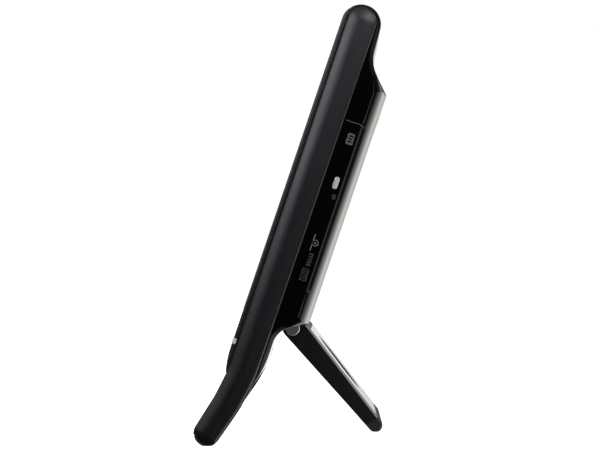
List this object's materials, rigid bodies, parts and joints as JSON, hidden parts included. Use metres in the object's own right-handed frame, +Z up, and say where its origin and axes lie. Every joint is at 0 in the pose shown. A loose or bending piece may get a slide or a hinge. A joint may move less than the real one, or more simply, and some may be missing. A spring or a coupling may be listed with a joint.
{
  "type": "digital photo frame",
  "caption": "Leaning table-top digital photo frame on curved side legs, with a disc tray in its side and a folding rear prop stand.",
  "frame": {"origin": "centre of the footprint's box on the surface it stands on", "axes": "+Z up, -Y the way the screen faces, +X the side that holds the disc tray"},
  "size_m": [0.392, 0.1382, 0.3167],
  "materials": {
    "bezel_black": "satin black moulding",
    "trim_metal": "brushed satin strip",
    "clear_pane": "clear cover pane",
    "smoked_window": "dark red filter window",
    "light_lens": "clear moulded lens",
    "sheet_steel": "galvanised sheet",
    "lcd_black": "dark display face",
    "light_guide": "clear acrylic sheet",
    "lamp_glass": "white coated tube",
    "side_satin": "charcoal satin paint",
    "pad_rubber": "matt black rubber",
    "cover_gloss": "piano black",
    "board_green": "solder-masked board",
    "chip_black": "moulded package",
    "heat_sink_metal": "extruded fins",
    "capacitor_sleeve": "sleeved can",
    "brass_turned": "turned",
    "screw_steel": "plated",
    "screw_black": "black plated",
    "winding_tape": "yellow tape over windings",
    "socket_metal": "tinned shell",
    "socket_black": "moulded socket",
    "socket_yellow": "yellow moulded socket",
    "speaker_black": "paper cone and basket",
    "key_plastic": "fine satin",
    "rail_plastic": "white slide rail",
    "tray_black": "spark-eroded texture",
    "door_gloss": "piano black",
    "button_silver": "silver grey",
    "hub_metal": "machined",
    "sled_black": "glass-filled",
    "lug_metal": "dark satin",
    "pin_steel": "ground",
    "stand_matt": "fine matt texture",
    "stand_gloss": "gloss black",
    "ribbon_film": "flat cable"
  },
  "bodies": {
    "body": {"front_bezel": "bezel_black", "trim_strip": "trim_metal", "display_pane": "clear_pane", "remote_window": "smoked_window", "power_light": "light_lens", "lcd_frame": "sheet_steel", "lcd_cell": "lcd_black", "light_guide": "light_guide", "backlight_lamp": "lamp_glass", "chassis_plate": "sheet_steel", "left_side_arm": "side_satin", "right_side_arm": "side_satin", "left_foot_pad": "pad_rubber", "right_foot_pad": "pad_rubber", "rear_cover": "cover_gloss", "main_board": "board_green", "board_chips": "chip_black", "heat_sink": "heat_sink_metal", "board_capacitors": "capacitor_sleeve", "board_standoffs": "brass_turned", "board_screws": "screw_steel", "inverter_board": "board_green", "inverter_transformer": "winding_tape", "socket_board": "board_green", "card_reader": "socket_metal", "usb_socket": "socket_metal", "headphone_socket": "socket_black", "video_socket": "socket_yellow", "power_inlet": "socket_black", "left_speaker": "speaker_black", "right_speaker": "speaker_black", "key_board": "board_green", "key_switches": "chip_black", "drive_case": "sheet_steel", "tray_rails": "rail_plastic", "hinge_lugs": "lug_metal", "hinge_pin": "pin_steel", "display_ribbon": "ribbon_film", "drive_ribbon": "ribbon_film", "case_screws": "screw_black", "side_arm_screws": "screw_steel", "hinge_screws": "screw_steel"},
    "tray": {"disc_tray": "tray_black", "tray_door": "door_gloss", "drive_light": "light_lens", "sled_rods": "screw_steel"},
    "eject_button": {"eject_button": "button_silver"},
    "spindle": {"spindle_hub": "hub_metal"},
    "sled": {"laser_sled": "sled_black"},
    "stand": {"stand_leg": "stand_matt", "stand_back_plate": "stand_gloss", "stand_foot": "pad_rubber", "hinge_washers": "screw_steel"},
    "power_key": {"power_button": "key_plastic"},
    "menu_key": {"menu_button": "key_plastic"},
    "previous_key": {"previous_button": "key_plastic"},
    "next_key": {"next_button": "key_plastic"},
    "play_key": {"play_button": "key_plastic"}
  },
  "joints": [
    {"name": "stand_fold", "type": "hinge", "parent": "body", "child": "stand", "pos_m": [0, -0.00072, 0.08011], "axis": [-1, 0, 0], "range_deg": [0, 56.4]},
    {"name": "tray_slide", "type": "slide", "parent": "body", "child": "tray", "axis": [1, 0, 0], "range_m": [0, 0.118]},
    {"name": "eject_press", "type": "slide", "parent": "tray", "child": "eject_button", "axis": [-1, 0, 0], "range_m": [0, 0.0006], "stiffness_N_per_m": 400, "springref_m": -0.001},
    {"name": "spindle_spin", "type": "hinge", "parent": "tray", "child": "spindle", "pos_m": [0.1265, 0.02716, 0.17096], "axis": [0, 0.9469, -0.3214], "continuous": true},
    {"name": "sled_travel", "type": "slide", "parent": "tray", "child": "sled", "axis": [-1, 0, 0], "range_m": [0, 0.025]},
    {"name": "power_press", "type": "slide", "parent": "body", "child": "power_key", "axis": [0, -0.9469, 0.3214], "range_m": [0, 0.0005], "stiffness_N_per_m": 400, "springref_m": -0.001},
    {"name": "menu_press", "type": "slide", "parent": "body", "child": "menu_key", "axis": [0, -0.9469, 0.3214], "range_m": [0, 0.0005], "stiffness_N_per_m": 400, "springref_m": -0.001},
    {"name": "previous_press", "type": "slide", "parent": "body", "child": "previous_key", "axis": [0, -0.9469, 0.3214], "range_m": [0, 0.0005], "stiffness_N_per_m": 400, "springref_m": -0.001},
    {"name": "next_press", "type": "slide", "parent": "body", "child": "next_key", "axis": [0, -0.9469, 0.3214], "range_m": [0, 0.0005], "stiffness_N_per_m": 400, "springref_m": -0.001},
    {"name": "play_press", "type": "slide", "parent": "body", "child": "play_key", "axis": [0, -0.9469, 0.3214], "range_m": [0, 0.0005], "stiffness_N_per_m": 400, "springref_m": -0.001}
  ]
}
